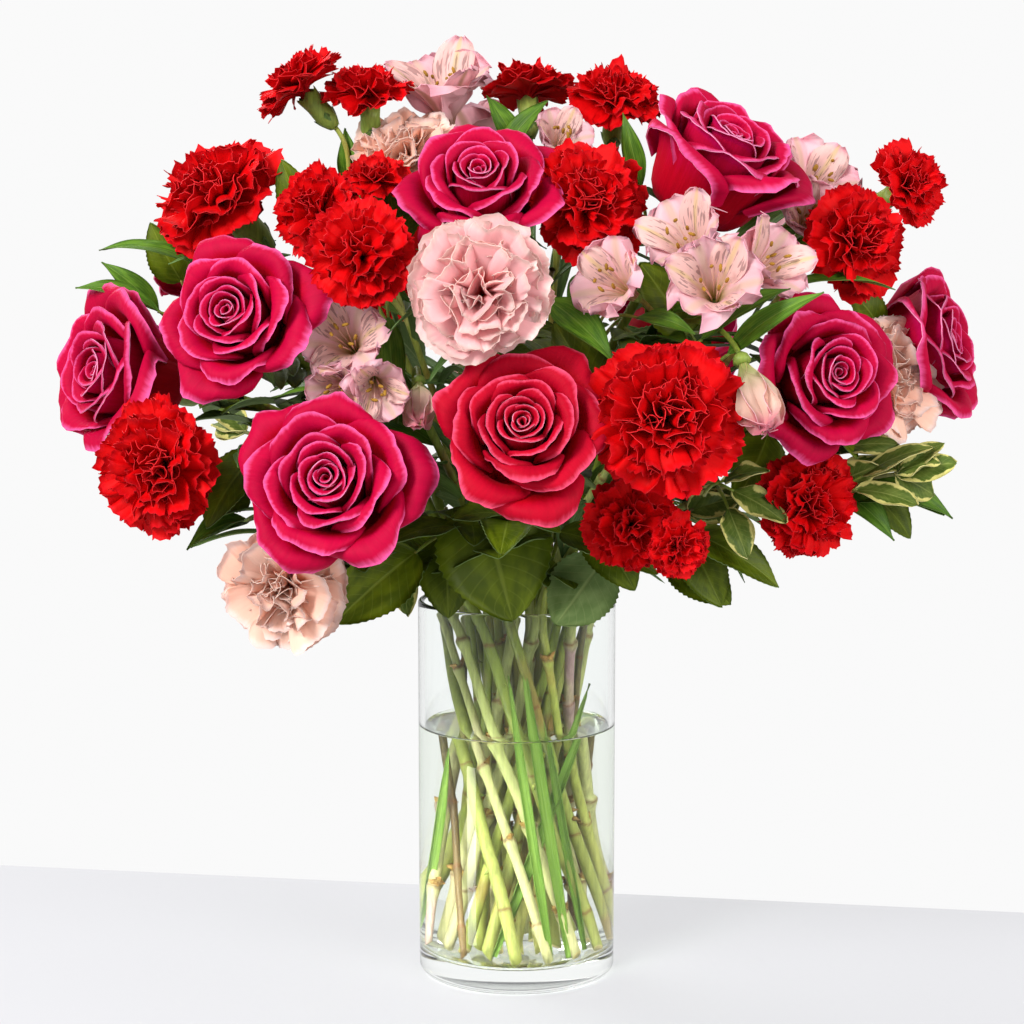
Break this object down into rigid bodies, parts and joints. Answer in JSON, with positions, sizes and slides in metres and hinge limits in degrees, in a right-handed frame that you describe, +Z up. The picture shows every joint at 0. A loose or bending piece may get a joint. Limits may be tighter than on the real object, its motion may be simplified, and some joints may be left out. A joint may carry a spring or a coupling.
{
  "type": "mixed flower bouquet in a glass vase",
  "caption": "Clear glass cylinder vase of water holding a rounded bouquet of roses, carnations, spray carnations and alstroemeria with leaves.",
  "frame": {"origin": "middle of the vase's flat foot, on the surface it stands on", "axes": "+Z up along the vase's axis; -Y towards the front of the arrangement, where most blooms face; +X to the right as seen from the front"},
  "size_m": [0.4463, 0.3278, 0.4693],
  "materials": {
    "vase_glass": "clear polished",
    "water": "clear liquid",
    "rose_petal": "satin",
    "carnation_red_petal": "velvety",
    "carnation_pink_petal": "velvety",
    "alstroemeria_petal": "satin",
    "stem": "waxy",
    "leaf": "semi-gloss"
  },
  "bodies": {
    "root": {"alstroemeria_far_right": "alstroemeria_petal", "alstroemeria_left": "alstroemeria_petal", "alstroemeria_right": "alstroemeria_petal", "alstroemeria_top": "alstroemeria_petal", "carnation_pink_back": "carnation_pink_petal", "carnation_pink_back_stem": "stem", "carnation_pink_centre": "carnation_pink_petal", "carnation_pink_centre_stem": "stem", "carnation_pink_lower_left": "carnation_pink_petal", "carnation_pink_lower_left_stem": "stem", "carnation_pink_right": "carnation_pink_petal", "carnation_pink_right_stem": "stem", "carnation_pink_top": "carnation_pink_petal", "carnation_pink_top_stem": "stem", "carnation_red_back": "carnation_red_petal", "carnation_red_back_stem": "stem", "carnation_red_lower_left": "carnation_red_petal", "carnation_red_lower_left_stem": "stem", "carnation_red_lower_right": "carnation_red_petal", "carnation_red_lower_right_stem": "stem", "carnation_red_right": "carnation_red_petal", "carnation_red_right_stem": "stem", "carnation_red_top": "carnation_red_petal", "carnation_red_top_stem": "stem", "carnation_red_upper_left": "carnation_red_petal", "carnation_red_upper_left_stem": "stem", "pittosporum_left": "leaf", "pittosporum_right": "leaf", "rose_back": "rose_petal", "rose_back_stem": "stem", "rose_behind_left": "rose_petal", "rose_behind_left_stem": "stem", "rose_far_left": "rose_petal", "rose_far_left_stem": "stem", "rose_far_right": "rose_petal", "rose_far_right_stem": "stem", "rose_front_centre": "rose_petal", "rose_front_centre_stem": "stem", "rose_front_left": "rose_petal", "rose_front_left_stem": "stem", "rose_leaf_front": "leaf", "rose_leaf_front_left": "leaf", "rose_leaf_front_right": "leaf", "rose_leaf_low_left": "leaf", "rose_leaf_low_right": "leaf", "rose_left": "rose_petal", "rose_left_stem": "stem", "rose_right": "rose_petal", "rose_right_stem": "stem", "rose_top_centre": "rose_petal", "rose_top_centre_stem": "stem", "rose_top_right": "rose_petal", "rose_top_right_stem": "stem", "spray_carnation_left": "carnation_red_petal", "spray_carnation_lower": "carnation_red_petal", "spray_carnation_right": "carnation_red_petal", "spray_carnation_top": "carnation_red_petal", "spray_carnation_top_left": "carnation_red_petal", "vase": "vase_glass", "water": "water"}
  },
  "joints": []
}
